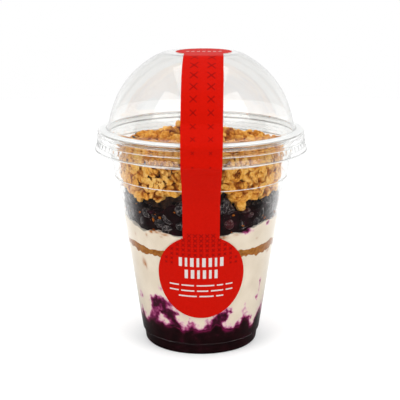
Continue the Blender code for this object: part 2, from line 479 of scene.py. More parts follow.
def dome_line(low, high, steps, lift=0.0):
    """(radius, height) points up the dome, which is a slightly flattened ball."""
    first, last = (math.asin((height - DOME_CENTRE) / DOME_RISE) for height in (low, high))
    turns = [first + (last - first) * step / steps for step in range(steps + 1)]
    wide, tall = DOME_RADIUS + lift, DOME_RISE + lift
    return [(wide * math.cos(t), DOME_CENTRE + tall * math.sin(t)) for t in turns]


skirt = rounded(
    [
        (SKIRT_RADIUS - 0.25, 94.6, 0),
        (SKIRT_RADIUS + 0.15, 94.65, 0.15),
        (49.8, 95.6, 0.3),
        (49.35, CRIMP_LOW, 0.1),
        (48.85, CRIMP_HIGH, 0.1),
        (48.45, 99.5, 0.3),
        (48.9, 100.4, 0.4),
        (48.95, 101.2, 0.4),
        (48.55, 102.0, 0.3),
        (48.95, 103.0, 0.5),
        (48.3, 103.9, 0.7),
        (45.4, 104.3, 0.8),
        (44.15, 104.6, 0.4),
        (43.8, 105.6, 0.4),
        (43.55, 106.6, 0),
    ]
)
dome = dome_line(107.6, 137.6, 22)
top = rounded([(*dome[-1], 0), TOP_CORNER, (12.0, LID_TOP, 0), (1.0, LID_TOP, 0)])
lid = turn(skirt + dome + top[1:], LID_SEGMENTS)

# %% [markdown]
# Every second face of the skirt is inset and pushed in a little, which makes the crimps.

# %% Crimp the skirt
CRIMP_FRAME, CRIMP_DEPTH = 0.6, 0.22


def is_crimp(centre):
    """Whether a face of the lid lies in every second column of the skirt's wall."""
    level = (centre.z + lid.location.z) / MM
    column = math.degrees(math.atan2(centre.x, -centre.y)) / (360 / LID_SEGMENTS)
    return CRIMP_LOW + 0.3 < level < CRIMP_HIGH - 0.2 and math.floor(column) % 2 == 0


select_faces(lid, is_crimp)
bpy.ops.mesh.inset(thickness=CRIMP_FRAME * MM, depth=-CRIMP_DEPTH * MM, use_individual=True)
leave_faces()

modify(lid, "SOLIDIFY", thickness=LID_WALL * MM, offset=-1.0, use_even_offset=True)
lid.data.materials.append(pet)
settle(lid, "dome_lid", "lid")

# %% [markdown]
# ### Painted lines of light on the edges
#
# Fine white lines show along the skirt's cut edge and its step, at the cup's ledge, which
# mirrors the white floor, and on the cup's neck, which mirrors the skirt's edge. A sheet of
# PET also carries light along inside itself and lets it out where it is cut or sharply
# creased. Each line is a thin ring of frosted PET: a painted highlight on the lid, and a
# painted reflection on the cup.

# %% Rings of painted highlight and reflection
RING_SEGMENTS = 144
# Each ring: name, radius, height and thickness in mm.
RINGS = (
    ("lid_cut_edge_painted_highlight", 50.0, 94.5, 0.2),
    ("lid_step_painted_highlight", 48.95, 98.75, 0.13),
    ("cup_neck_painted_reflection", 43.1, 92.4, 0.13),
    ("cup_ledge_painted_reflection", 41.05, 82.0, 0.17),
)

# The frosted rings' pale finish is painted light: highlights on the lid, reflections on the cup.
frosted, add = new_material(
    "frosted PET painted highlight", "F2F3F3", Roughness=0.4, IOR=PET_IOR, Transmission_Weight=0.3
)


def pet_ring(radius, height, thickness, sides, material):
    """A thin ring round the cup's axis, in mm."""
    deselect()
    bpy.ops.mesh.primitive_torus_add(
        major_radius=radius * MM,
        minor_radius=thickness * MM,
        major_segments=RING_SEGMENTS,
        minor_segments=sides,
        location=(0, 0, height * MM),
    )
    bpy.context.object.data.materials.append(material)
    return bpy.context.object


for name, radius, height, thickness in RINGS:
    ring = pet_ring(radius, height, thickness, 8, frosted)
    settle(ring, name, smooth_angle=80)

# %% [markdown]
# The cup's rolled rim is pressed up under the flange. So many layers of PET lie over each
# other there that light glances back and forth between them, and the flange looks hazy
# white. A flat hazy ring lines it: a painted reflection of that glare.

# %% Hazy rolled rim, a painted glare
HAZE_RADIUS, HAZE_WIDTH, HAZE_HEIGHT = 46.5, 1.7, 103.9
HAZE_FLATNESS, HAZE_SLOPE = 0.1, 0.15

# Painted reflection: the ring's hazy white stands for glare between the stacked layers.
hazy, add = new_material(
    "hazy PET painted glare", "FAFAF9", Roughness=0.35, IOR=PET_IOR, Transmission_Weight=0.25
)
rim = pet_ring(HAZE_RADIUS, 0, HAZE_WIDTH, 12, hazy)
for vertex in rim.data.vertices:
    out = math.hypot(vertex.co.x, vertex.co.y) / MM - HAZE_RADIUS
    vertex.co.z = vertex.co.z * HAZE_FLATNESS + (HAZE_HEIGHT - HAZE_SLOPE * out) * MM
settle(rim, "rolled_rim_painted_glare", smooth_angle=80)

# %% [markdown]
# ## The paper label
#
# The label is one strip of coated paper. It lies flat on the lid's top, clings to the dome,
# bridges to the flange, folds over the skirt's edge, hangs back to the cup and ends in a
# large round. We describe its centre line once, as an outline in side view. A point of the
# flat label is then given by how far across and how far along it is, from the middle of the
# top round, which lets us cut the paper and its print flat, as a printer does, and lay them
# on afterwards. The real label was put on slightly askew, so it drifts to one side.

# %% The label's path
PAPER_LIFT = 0.24
PAPER_THICKNESS = 0.14
TOP_ROUND = 13.1
FRONT_ROUND = 20.9
FRONT_ROUND_HEIGHT = 40.3
START = TOP_ROUND + 0.5
# Half the band's width, and how far the label has drifted, at distances along it in mm.
BAND_WIDTHS = (
    (12, 8.9), (20, 9.2), (32, 9.45), (60, 9.35), (76, 9.1), (86, 8.85), (98, 8.5), (134, 8.4),
)
DRIFT = (
    (-14, 1.35), (8, 1.3), (17, 1.1), (26, 0.8), (42, 0.5), (56, 0.3), (84, 0.1), (134, 0.05),
)


def body_radius(height):
    """The cup's outer radius at a height, or at an array of heights."""
    radii, heights = zip(BODY_LOW, BODY_HIGH, LEDGE_HIGH, NECK_HIGH)
    return np.interp(height, heights, radii)


on_dome = dome_line(137.8, 112.5, 16, 0.05)
to_cup = rounded(
    [
        (*on_dome[-1], 0),
        (45.9, 107.7, 2.0),
        (48.3, 104.7, 1.0),
        (49.1, 103.0, 1.0),
        (49.1, 99.6, 1.5),
        (50.25, 94.6, 0.35),
        (49.85, 93.7, 0.7),
        (46.4, 90.4, 3.0),
        (42.6, 85.2, 3.0),
        (41.3, 81.6, 1.5),
        (39.0, 76.4, 3.0),
        (body_radius(62), 62, 0),
        (body_radius(18), 18, 0),
    ]
)
flat = rounded([(-START, LID_TOP, 0), TOP_CORNER, (*on_dome[0], 0)])
centre_line = np.array(flat[:-1] + on_dome + to_cup[1:])
steps_along = np.hypot(*np.diff(centre_line, axis=0).T)
along = np.concatenate([[0], np.cumsum(steps_along)]) - START
tangents = np.gradient(centre_line, along, axis=0)
tangents /= np.hypot(*tangents.T)[:, None]
FRONT_ROUND_ALONG = float(np.interp(-FRONT_ROUND_HEIGHT, -centre_line[:, 1], along))
print("label: length along the path", round(FRONT_ROUND_ALONG + FRONT_ROUND + TOP_ROUND, 1), "mm")


def label_point(across, distance, lift):
    """Where a point of the flat label lies, in metres. All three are in mm."""
    radius, height = (float(np.interp(distance, along, centre_line[:, k])) for k in (0, 1))
    run = [float(np.interp(distance, along, tangents[:, k])) for k in (0, 1)]
    size = math.hypot(*run)
    out, up = -run[1] / size, run[0] / size
    curvature = out / radius if abs(radius) > 15 else 0.0
    across += float(np.interp(distance, *zip(*DRIFT)))
    side, sag = across, 0.0
    if abs(curvature) >= 1e-5:
        side = math.sin(across * curvature) / curvature
        sag = (1 - math.cos(across * curvature)) / curvature
    radius += (lift - sag) * out
    height += (lift - sag) * up
    return Vector((side * MM, -radius * MM, height * MM))


def half_width(distance):
    """Half the label's width at a distance along it."""
    from_front = distance - FRONT_ROUND_ALONG
    band = float(np.interp(distance, *zip(*BAND_WIDTHS)))
    if distance < math.sqrt(TOP_ROUND**2 - band**2):
        return math.sqrt(max(0.0, TOP_ROUND**2 - distance**2))
    if from_front < -FRONT_ROUND:
        return band
    round_end = math.sqrt(max(0.0, FRONT_ROUND**2 - from_front**2))
    return max(band, round_end) if from_front < 0 else round_end


# %% [markdown]
# The paper is a grid. Its rows lie closer together in the two rounds, where the width
# changes fast, and every point is then laid on the path.

# %% Cut and lay the paper
COLUMNS = 18
NECK = BAND_WIDTHS[-1][1]
rows = [TOP_ROUND * math.cos(t) for t in np.radians(np.linspace(179.2, 48, 18))]
join_at = FRONT_ROUND_ALONG - math.sqrt(FRONT_ROUND**2 - NECK**2)
rows += list(np.linspace(rows[-1] + 0.7, join_at - 0.5, 150))
first_turn = math.asin(NECK / FRONT_ROUND)
rows += [
    FRONT_ROUND_ALONG - FRONT_ROUND * math.cos(t)
    for t in np.linspace(first_turn, math.radians(179.3), 40)
]

deselect()
bpy.ops.mesh.primitive_grid_add(x_subdivisions=COLUMNS, y_subdivisions=len(rows) - 1, size=2)
label = bpy.context.object
for vertex in label.data.vertices:
    row = rows[round((1 - vertex.co.y) / 2 * (len(rows) - 1))]
    vertex.co = label_point(vertex.co.x * half_width(row), row, PAPER_LIFT)

# %% [markdown]
# Coated label paper has a smooth clay coating under red ink, with a satin sheen, and plain
# white paper at its cut edge and on its back. Solidify gives the sheet its thickness, and
# its back and edge take the second material.

# %% Label materials
red_paper, add = new_material(
    "red coated label paper",
    "B40D02",
    Roughness=0.5,
    Specular_IOR_Level=0.02,
    Coat_Weight=0.04,
    Coat_Roughness=0.15,
)
fibres = mottle(add, 0.9, 3.0, "B00C01", "B80F03")
add("Bump", Strength=0.15, Distance=0.02 * MM, Height=fibres, to="Normal")

paper_back, add = new_material("white paper back", "EDE9E4", Roughness=0.8)
mottle(add, 0.5, 3.0, "E9E5E0", "F1EEEA")

label.data.materials.append(red_paper)
label.data.materials.append(paper_back)
modify(
    label,
    "SOLIDIFY",
    thickness=PAPER_THICKNESS * MM,
    offset=-1.0,
    material_offset=1,
    material_offset_rim=1,
)
settle(label, "paper_label", "label", 30)

# %% [markdown]
# ## The print
#
# The print is ink on the paper, so it is a very thin layer of its own: darker crosses on
# the band and the round, and pale blocks where a pack would carry its words. Each mark is a
# flat little box, cut up so that it can bend, and laid on the label by the same rule.

# %% Print the label
INK_LIFT = PAPER_LIFT + 0.01
INK_THICKNESS = 0.03


def ink_mark(across, distance, wide, tall, turned=0.0):
    """One flat mark in label coordinates: x is across and -y is along the label."""
    deselect()
    bpy.ops.mesh.primitive_cube_add(size=1, location=(across, -distance, INK_THICKNESS / 2))
    mark = bpy.context.object
    mark.scale = (wide, tall, INK_THICKNESS)
    mark.rotation_euler.z = math.radians(turned)
    bpy.ops.object.transform_apply(location=True, rotation=True, scale=True)
    return mark


def lay_ink(marks, name, material, cuts):
    """Joins marks, cuts them up and lays them on the label."""
    piece = join(marks)
    bpy.ops.object.mode_set(mode="EDIT")
    bpy.ops.mesh.select_all(action="SELECT")
    bpy.ops.mesh.subdivide(number_cuts=cuts)
    bpy.ops.object.mode_set(mode="OBJECT")
    for vertex in piece.data.vertices:
        vertex.co = label_point(vertex.co.x, -vertex.co.y, INK_LIFT + vertex.co.z)
    piece.data.materials.append(material)
    settle(piece, name)


def cross(across, distance, size, line):
    """Two thin bars across each other."""
    length = size * math.sqrt(2)
    return [ink_mark(across, distance, length, line, turned) for turned in (45, -45)]


def along_at(height):
    """The distance along the label at a height on the cup or the lid's side."""
    return float(np.interp(-height, -centre_line[:, 1], along))


dark_ink, add = new_material(
    "dark red ink", "840502", Roughness=0.5, Specular_IOR_Level=0.04
)
mottle(add, 0.7, 2.0, "7E0402", "8A0603")

CROSS_COLUMN = 3.9
CROSS_START, CROSS_PITCH = 18.9, 6.25
CROSS_SIZES = (3.4, 3.6, 3.6, 3.4, 3.1, 2.8, 2.4, 2.1, 1.3, 0.7)
marks = []
for index, size in enumerate(CROSS_SIZES):
    distance = CROSS_START + CROSS_PITCH * index
    for side in (-1, 1):
        marks += cross(side * CROSS_COLUMN, distance, size, 0.16 + 0.09 * size)
GRID_TOP, GRID_ACROSS, GRID_DOWN = 60.7, 2.75, 2.35
GRID_SIZE, GRID_LINE, GRID_MARGIN = 1.9, 0.36, 1.6
WORDS_TOP, WORDS_REACH = 51, 13
for row in range(7):
    height = GRID_TOP - GRID_DOWN * row
    distance = along_at(height)
    room = half_width(distance) - GRID_MARGIN
    for column in range(-7, 8):
        across = column * GRID_ACROSS
        hidden = height < WORDS_TOP and abs(across) < WORDS_REACH
        if abs(across) < room and not hidden:
            marks += cross(across, distance, GRID_SIZE * (1 - 0.08 * row), GRID_LINE)
lay_ink(marks, "label_crosses", dark_ink, 2)

# %% [markdown]
# The pale blocks are screen printed in an off-white that covers the red. They keep only the
# places and the lengths of words, so nothing can be read.

# %% Pale blocks
white_ink, add = new_material("white screen ink", "CCC4C0", Roughness=0.4)
mottle(add, 0.7, 2.0, "C6BEBA", "D0C8C4")


def block_row(height, widths, tall, gap):
    """A centred row of blocks at a height on the cup."""
    left = -(sum(widths) + gap * (len(widths) - 1)) / 2
    made = []
    for width in widths:
        made.append(ink_mark(left + width / 2, along_at(height), width, tall))
        left += width + gap
    return made


BIG_GAP, SMALL_GAP = 1.35, 1.2
SMALL_TALL = 0.65
DASH_PITCH = 2.5
marks = block_row(47.7, (1.5, 1.1, 1.6, 1.2, 1.6, 1.5, 1.1, 1.6), 4.4, BIG_GAP)
marks += block_row(41.8, (1.5, 1.6, 1.2, 1.5, 1.2, 1.4), 4.3, BIG_GAP)
marks += block_row(36.1, (4.6, 5.8, 8.2, 3.0, 3.4), SMALL_TALL, SMALL_GAP)
marks += block_row(33.4, (4.4, 6.2, 5.2, 5.8, 3.4), SMALL_TALL, SMALL_GAP)
marks += block_row(30.7, (8.4, 6.6, 3.4), SMALL_TALL, SMALL_GAP)
for index in range(-3, 4):
    marks.append(ink_mark(DASH_PITCH * index, 0.4, 1.5, 1.0))
lay_ink(marks, "label_blocks", white_ink, 3)

# %% [markdown]
# ## What is inside
#
# The layers are spooned in one after another and press against the clear wall, so their
# edges are uneven. Each layer is turned with many segments, and its top and bottom then
# follow a height for each angle round the cup. Angles are in degrees from the front,
# positive to the right. The food reaches a little into the wall, as wet food that touches
# plastic leaves no air between them.

# %% Heights of the layers round the cup
INTO_WALL = 0.15
FOOT_TOP = 6.5
JAM_EDGE = (
    (-110, 13), (-85, 14.5), (-75, 14), (-68, 15.6), (-60, 12.2), (-53, 15.4), (-45, 14.4),
    (-32, 13.8), (-22, 13.6), (-15, 12.0), (-8, 13.4), (1, 12.2), (8, 13.6), (14, 16.0),
    (19, 15.4), (23, 12.4), (30, 12.0), (38, 13.6), (44, 15.6), (50, 14.4), (53, 10.2),
    (57, 10.0), (61, 14.0), (66, 16.2), (75, 15.2), (95, 12.5), (140, 15), (180, 12.5),
)
CREAM_LOW = (
    (-120, 50), (-75, 50.4), (-62, 50.6), (-54, 49.4), (-45, 48.7), (-38, 49.2), (-28, 48.8),
    (0, 49.4), (30, 49.4), (40, 49.6), (45, 48.6), (49, 47.8), (56, 49.2), (70, 49.8),
    (110, 48.8), (150, 50.2), (180, 49.2),
)
CREAM_HIGH = (
    (-120, 52.4), (-75, 52.4), (-62, 53.0), (-50, 52.2), (-40, 51.6), (-30, 51.8), (0, 52.2),
    (30, 52.0), (40, 51.6), (50, 52.0), (60, 52.9), (72, 52.8), (110, 51.6), (180, 52.4),
)
BERRY_LOW = (
    (-120, 62), (-75, 64.5), (-65, 63.0), (-55, 61.4), (-47, 59.6), (-40, 60.8), (-34, 61.2),
    (-25, 60.4), (-15, 59.6), (0, 60.4), (15, 60.2), (25, 61.0), (35, 61.2), (45, 63.0),
    (60, 64.0), (75, 63.4), (120, 61), (180, 62.5),
)


def at_angle(table, degrees):
    """The height that a table of (angle, height) gives at an angle."""
    angles, heights = zip(*table)
    return float(np.interp(degrees, angles, heights, period=360))


def ripple(degrees, size_mm, seed):
    """Smooth noise round the cup, from -1 to 1, with waves of about that length."""
    turn_angle = math.radians(degrees)
    reach = 35.0 / size_mm
    return noise.noise(Vector((math.cos(turn_angle) * reach, math.sin(turn_angle) * reach, seed)))


def inner_radius(height):
    """The cup's inner radius at a height."""
    return body_radius(height) - WALL


def edge_height(table, degrees, rough, seed):
    """A layer's edge at the wall, with fine unevenness."""
    fine = rough * (ripple(degrees, 4.0, seed) + 0.6 * ripple(degrees, 1.6, seed + 7))
    return at_angle(table, degrees) + fine


# %% [markdown]
# A layer is turned at its mean height, with plenty of rings. Its points are then moved up
# or down: fully at the wall, and less and less towards the middle, where nobody looks.

# %% Build the layers
LAYER_SEGMENTS = 360
INWARD = (0.985, 0.94, 0.85, 0.6, 0.3, 0.05)


def wall_at(height):
    """The inner radius for food at a height. Below the foot's top it stays as it is there."""
    return inner_radius(max(height, FOOT_TOP))


def degrees_round(point):
    """The angle of a point round the cup, from the front."""
    return math.degrees(math.atan2(point.x, -point.y))


def layer(name, low, high, row_height, material, cad_node, underside=None):
    """A food layer between two edges, or above an underside of (radius, height) points."""
    low_mean = underside[-1][1] if underside else np.mean([low(a) for a in range(-180, 180, 5)])
    high_mean = np.mean([high(a) for a in range(-180, 180, 5)])
    count = max(3, round((high_mean - low_mean) / row_height))
    levels = [low_mean + (high_mean - low_mean) * row / count for row in range(count + 1)]
    sides = [(wall_at(level), level) for level in levels]
    under = underside or [(sides[0][0] * share, low_mean) for share in reversed(INWARD)]
    over = [(sides[-1][0] * share, high_mean) for share in INWARD]
    piece = turn(under + sides + over, LAYER_SEGMENTS)
    bpy.ops.object.mode_set(mode="EDIT")
    bpy.ops.mesh.select_all(action="SELECT")
    bpy.ops.mesh.fill_holes(sides=0)
    bpy.ops.mesh.normals_make_consistent(inside=False)
    bpy.ops.object.mode_set(mode="OBJECT")
    bpy.ops.object.transform_apply(location=True, rotation=True, scale=True)
    for vertex in piece.data.vertices:
        angle = degrees_round(vertex.co)
        level = vertex.co.z / MM
        if underside and level < low_mean + 0.01:
            continue
        share = (level - low_mean) / (high_mean - low_mean)
        reach = math.hypot(vertex.co.x, vertex.co.y) / MM / wall_at(level)
        pull = max(0.0, min(1.0, (reach - 0.5) / 0.5))
        bottom = low_mean if underside else low_mean + (low(angle) - low_mean) * pull
        crown = high_mean + (high(angle) - high_mean) * pull
        height = bottom + (crown - bottom) * share
        vertex.co.z = height * MM
        if reach > 0.99:
            radius = wall_at(height) + INTO_WALL
            scale = radius * MM / math.hypot(vertex.co.x, vertex.co.y)
            vertex.co.x *= scale
            vertex.co.y *= scale
    piece.data.materials.append(material)
    return settle(piece, name, cad_node, 60)


# %% [markdown]
# The jam is boiled dark berries: nearly black where it is thick, magenta where it thins out
# into the yogurt, and wet, so it is glossy. The yogurt is an opaque cream. Its wet sheen is
# partly real gloss and partly a painted sheen, paler where it is seen at a slant. Where jam
# has smeared up the wall it stains the yogurt, so the yogurt's mesh carries an attribute,
# `jam`, that says how much of it lies there.

# %% Jam, yogurt and nut cream materials
MIX = {"data_type": "RGBA"}
MULTIPLY = {"operation": "MULTIPLY"}
MULTIPLY_CLAMPED = {"operation": "MULTIPLY", "use_clamp": True}
MULTIPLY_ADD_CLAMPED = {"operation": "MULTIPLY_ADD", "use_clamp": True}

jam_material, add = new_material(
    "cooked dark berry jam", "1A0508", Roughness=0.35, IOR=1.42, Specular_IOR_Level=0.04
)
place = add("TexCoord").outputs["Object"]
thin = add("Attribute", {"attribute_name": "jam"}).outputs["Fac"]
clots = add("TexNoise", Vector=place, Scale=per_mm(4.0), Detail=5.0)
thinned = add("Math", MULTIPLY_ADD_CLAMPED, i0=thin, i1=0.45, i2=clots)
JAM_TONES = ((0.4, "160507"), (0.62, "20070B"), (0.82, "460A26"), (0.98, "6C123C"))
add("ValToRGB", stops=JAM_TONES, Fac=thinned, to="Base Color")
add("Bump", Strength=0.3, Distance=0.4 * MM, Height=clots, to="Normal")

yogurt_material, add = new_material(
    "thick plain yogurt", "EFE6DA", Roughness=0.4, IOR=1.4, Specular_IOR_Level=0.08
)
place = add("TexCoord").outputs["Object"]
smears = add("Attribute", {"attribute_name": "jam"}).outputs["Fac"]
nutty = add("Attribute", {"attribute_name": "nut"}).outputs["Fac"]
fine = add("TexNoise", Vector=place, Scale=per_mm(2.2), Detail=4.0)
soft = add("TexNoise", Vector=place, Scale=per_mm(9.0), Detail=2.0)

# Painted sheen: plain yogurt is painted paler where it is seen at a slant, as the white
# room would show in its wet surface.
plain = add("ValToRGB", stops=((0.3, "D6C6B0"), (0.7, "E2D4C0")), Fac=soft)
slant = add("LayerWeight", Blend=0.35).outputs["Facing"]
painted_sheen_share = add("Math", MULTIPLY, i0=slant, i1=0.75)
with_painted_sheen = add("Mix", MIX, i0=painted_sheen_share, i6=plain, i7=linear("F8F5EF"))

# Jam on it goes from a pink film to nearly black, and fine noise breaks its edge up.
STAINS = (
    (0.0, "E5D5C4"), (0.15, "D8B0B8"), (0.32, "A84C78"), (0.48, "701648"), (0.66, "3E0C22"),
    (0.9, "1C060B"),
)
centred = add("Math", {"operation": "SUBTRACT"}, i0=fine, i1=0.5)
broken = add("Math", MULTIPLY_ADD_CLAMPED, i0=centred, i1=0.9, i2=smears)
has_jam = add("Math", {"operation": "GREATER_THAN"}, i0=smears, i1=0.03)
amount = add("Math", MULTIPLY, i0=broken, i1=has_jam)
stain = add("ValToRGB", stops=STAINS, Fac=amount)
fresh = add("Math", MULTIPLY_CLAMPED, i0=amount, i1=8.0)
tone = add("Mix", MIX, i0=fresh, i6=with_painted_sheen, i7=stain)
rubbed = add("Math", MULTIPLY_CLAMPED, i0=nutty, i1=fine)
brown = linear("A8662A")
add("Mix", MIX, i0=rubbed, i6=tone, i7=brown, to="Base Color")
add("Bump", Strength=0.2, Distance=0.3 * MM, Height=soft, to="Normal")

cream_material, add = new_material(
    "ground nut cream", "A56A2A", Roughness=0.45, IOR=1.46, Specular_IOR_Level=0.1
)
grind = mottle(add, 1.4, 4.0, "80481A", "AC702C")
add("Bump", Strength=0.3, Distance=0.2 * MM, Height=grind, to="Normal")
print("wet food:", jam_material.name, "/", yogurt_material.name, "/", cream_material.name)

# %% [markdown]
# The layers meet at shared edges: one function gives the height of an edge to the layer
# below it and to the one above. The jam also fills the foot ring round the pushed-up bottom.

# %% Jam, yogurt and nut cream
JAM_UNDERSIDE = [
    (0.6, 2.65), (20.6, 2.45), (21.2, 2.2), (22.5, 0.35), (25.8, 0.35), (26.55, 0.85),
    (27.1, 4.5), (26.9, 5.3), (27.9, 6.0),
]


def edge(table, rough, seed, lift=0.0):
    """The height of a layer's edge at the wall, as a function of the angle."""
    return lambda degrees: edge_height(table, degrees, rough, seed) + lift


jam_edge = edge(JAM_EDGE, 1.0, 3)
cream_low = edge(CREAM_LOW, 1.6, 11, -0.6)
cream_high = edge(CREAM_HIGH, 0.7, 17, 0.15)
berry_low = edge(BERRY_LOW, 0.7, 23)
jam = layer("jam_layer", None, jam_edge, 1.0, jam_material, "jam", JAM_UNDERSIDE)
lower = layer("lower_yogurt", jam_edge, cream_low, 0.6, yogurt_material, "yogurt_lower")
layer("nut_cream", cream_low, cream_high, 0.6, cream_material, "peanut_cream")
upper = layer("upper_yogurt", cream_high, berry_low, 0.8, yogurt_material, "yogurt_upper")

# %% [markdown]
# ### Smears
#
# Jam was dragged up the wall by the spoon, and nut cream was rubbed on in places. Each mark
# is a soft spot at an angle and a height, and a fringe of stain follows the jam's edge. The
# material then breaks the soft field up with fine noise.

# %% Paint the smears
# noise_vector starts from the clock unless it is given a seed.
noise.seed_set(12)

# Each smear: angle in degrees, height, half width and half height in mm, strength.
SMEARS = (
    (-42, 24.6, 3.0, 2.2, 1.0), (-35, 25.4, 2.6, 1.6, 0.9), (-30, 23.2, 2.8, 1.5, 1.0),
    (-38, 20.6, 3.6, 1.4, 0.9), (-45, 17.6, 2.0, 2.4, 0.75), (-27, 18.0, 2.2, 2.6, 1.0),
    (-23, 20.8, 1.8, 1.0, 0.9), (-32, 20.0, 2.2, 1.6, 0.8), (-47, 22.0, 1.6, 2.2, 0.7),
    (-40, 27.2, 2.0, 1.2, 0.6), (-33, 27.4, 1.2, 1.0, 0.5), (-23, 15.6, 2.4, 1.8, 0.9),
    (-11, 18.5, 0.5, 2.6, 0.4), (-9, 15.0, 1.4, 1.6, 0.5), (10, 15.0, 2.4, 1.6, 0.9),
    (14, 17.0, 2.2, 1.6, 1.0), (18, 19.2, 1.9, 1.6, 1.0), (22, 20.8, 1.5, 1.4, 1.0),
    (25, 22.0, 0.8, 1.2, 0.8), (21, 17.8, 1.4, 1.4, 0.7), (-65, 25.4, 1.4, 1.2, 0.55),
    (-67, 16.4, 1.8, 1.4, 0.6), (60, 32.4, 1.0, 1.6, 0.75), (58, 25.6, 1.2, 1.2, 0.35),
    (59, 29.0, 0.5, 2.8, 0.3), (42, 21.0, 1.4, 2.2, 0.3), (41, 16.4, 1.6, 1.8, 0.5),
    (-34, 32.0, 1.2, 1.0, 0.4), (-52, 17.0, 1.6, 1.6, 0.6), (50, 16.2, 1.6, 1.0, 0.7),
    (9, 20.4, 0.5, 1.6, 0.3), (72, 17.6, 2.2, 1.2, 0.5), (76, 21.6, 2.4, 0.8, 0.35),
    (110, 20, 3.0, 4.0, 0.8), (150, 18, 4.0, 3.0, 0.8), (-120, 19, 4.0, 3.6, 0.9),
    (-160, 22, 2.0, 4.0, 0.7), (185, 26, 1.6, 1.6, 0.5), (128, 27, 1.6, 1.2, 0.5),
)
NUT_MARKS = (
    (-51, 44.0, 1.4, 2.0, 0.8), (-49, 42.2, 0.8, 1.4, 0.6), (65, 47.8, 1.4, 0.8, 0.8),
    (-39, 60.6, 1.0, 0.8, 1.2), (-34, 61.0, 2.0, 0.5, 1.1), (-27, 60.2, 1.8, 0.6, 1.1),
    (-44, 58.4, 0.7, 0.8, 0.7), (-30, 58.8, 0.9, 0.5, 0.7), (16, 59.4, 2.4, 0.7, 0.9),
    (26, 60.2, 1.6, 0.5, 0.8), (-58, 57.0, 0.6, 0.8, 0.5), (46, 56.4, 0.7, 0.4, 0.5),
    (120, 58.5, 2.0, 0.8, 0.9), (170, 60.0, 2.4, 0.7, 0.9), (-140, 59.0, 1.8, 1.0, 0.9),
)
JUICE_MARKS = ((35, 61.2, 2.6, 1.0, 0.6), (57, 62.6, 1.6, 0.8, 0.5))
SPOT_END = 6
NUT_STRENGTH = 1.9


def degrees_apart(degrees, angle):
    """The shorter way round from one angle to another."""
    return (degrees - angle + 180) % 360 - 180


def spots(table, degrees, height):
    """The sum of the soft spots of a table at a place on the wall."""
    found = 0.0
    for angle, level, wide, tall, strength in table:
        across = math.radians(degrees_apart(degrees, angle)) * inner_radius(height)
        away = (across / wide) ** 2 + ((height - level) / tall) ** 2
        found += strength * math.exp(-away) if away < SPOT_END else 0.0
    return found


def jam_amount(degrees, height):
    """How much jam shows on the lower yogurt at a place on the wall, from 0 to 1."""
    above = height - jam_edge(degrees)
    found = 0.75 * math.exp(-max(0.0, above) / 1.1)
    if height > 42:
        return found
    place = Vector((math.radians(degrees) * 32, height, 0))
    drag = noise.noise_vector(place / 3.4) * 2.6 + noise.noise_vector(place / 1.3) * 0.9
    radius = inner_radius(height)
    for angle, level, wide, tall, strength in SMEARS:
        across = (math.radians(degrees_apart(degrees, angle)) * radius + drag.x) / wide
        away = across**2 + ((height - level + 0.8 * drag.y) / tall) ** 2
        if away < SPOT_END:
            found += 0.72 * strength * math.exp(-away * 0.8) * (1 - found)
    return found


def jam_thinness(degrees, height):
    """How thin the jam is below its edge, from 0 to 1."""
    return math.exp(-max(0.0, jam_edge(degrees) - height) / 1.2)


def juice_amount(degrees, height):
    """How much berry juice has run into the upper yogurt, from 0 to 1."""
    return spots(JUICE_MARKS, degrees, height)


def nut_amount(degrees, height):
    """How much nut cream is rubbed on the yogurt."""
    return NUT_STRENGTH * spots(NUT_MARKS, degrees, height)


def paint(piece, name, amount_at):
    """Writes an attribute on a piece's points, from their angles and heights."""
    points = [vertex.co for vertex in piece.data.vertices]
    values = [amount_at(degrees_round(point), point.z / MM) for point in points]
    add_attribute(piece, name, values)
    print(piece.name, name, "on", sum(v > 0.1 for v in values), "points")


paint(jam, "jam", jam_thinness)
paint(lower, "jam", jam_amount)
paint(upper, "jam", juice_amount)
paint(lower, "nut", nut_amount)
paint(upper, "nut", nut_amount)

# %% [markdown]
# ## Scattering
#
# Berries and granola are modelled once in a few shapes, then copied many times, turned,
# resized and joined. What would pass through the cup's wall is pressed back inside it, as
# the real pieces are. Each copy carries a random number, `tint`, so that it can differ a
# little in colour from its neighbours.

# %% Helpers for scattering
chance = random.Random(12)
NECK_START, NECK_EASE = 80, 6


def copy_at(shapes, place, size, stretch=0.15, lighter=0.0):
    """A copy of one of the shapes at a place, turned at random and a little out of round."""
    shape = chance.choice(shapes)
    made = shape.copy()
    made.data = shape.data.copy()
    turned = Euler([chance.uniform(0, math.tau) for _ in range(3)]).to_matrix().to_4x4()
    sizes = [size * MM * chance.uniform(1 - stretch, 1 + stretch) for _ in range(3)]
    placed = Matrix.Translation(Vector(place) * MM) @ turned @ Matrix.Diagonal((*sizes, 1))
    made.data.transform(placed)
    add_attribute(made, "tint", [chance.random() + lighter] * len(made.data.vertices))
    bpy.context.collection.objects.link(made)
    return made


def join_copies(copies, name, clearance, material):
    """Joins the copies, presses them inside the cup's wall and names the piece."""
    piece = join(copies)
    points = np.empty(len(piece.data.vertices) * 3, np.float32)
    piece.data.vertices.foreach_get("co", points)
    points = points.reshape(-1, 3)
    reach = np.hypot(points[:, 0], points[:, 1])
    heights = points[:, 2] / MM
    room = (inner_radius(heights) - clearance) * MM
    room -= clearance * MM * np.clip((heights - NECK_START) / NECK_EASE, 0, 1)
    press = np.minimum(1, room / np.maximum(reach, 1e-6))
    points[:, :2] *= press[:, None]
    piece.data.vertices.foreach_set("co", points.ravel())
    piece.data.materials.clear()
    piece.data.materials.append(material)
    settle(piece, name, smooth_angle=60)


def on_ring(degrees, radius, height):
    """A place in mm at an angle from the front."""
    turn_angle = math.radians(degrees)
    return (radius * math.sin(turn_angle), -radius * math.cos(turn_angle), height)


def retire(shapes):
    """Removes the shapes that copies were made from."""
    for shape in shapes:
        bpy.data.objects.remove(shape)


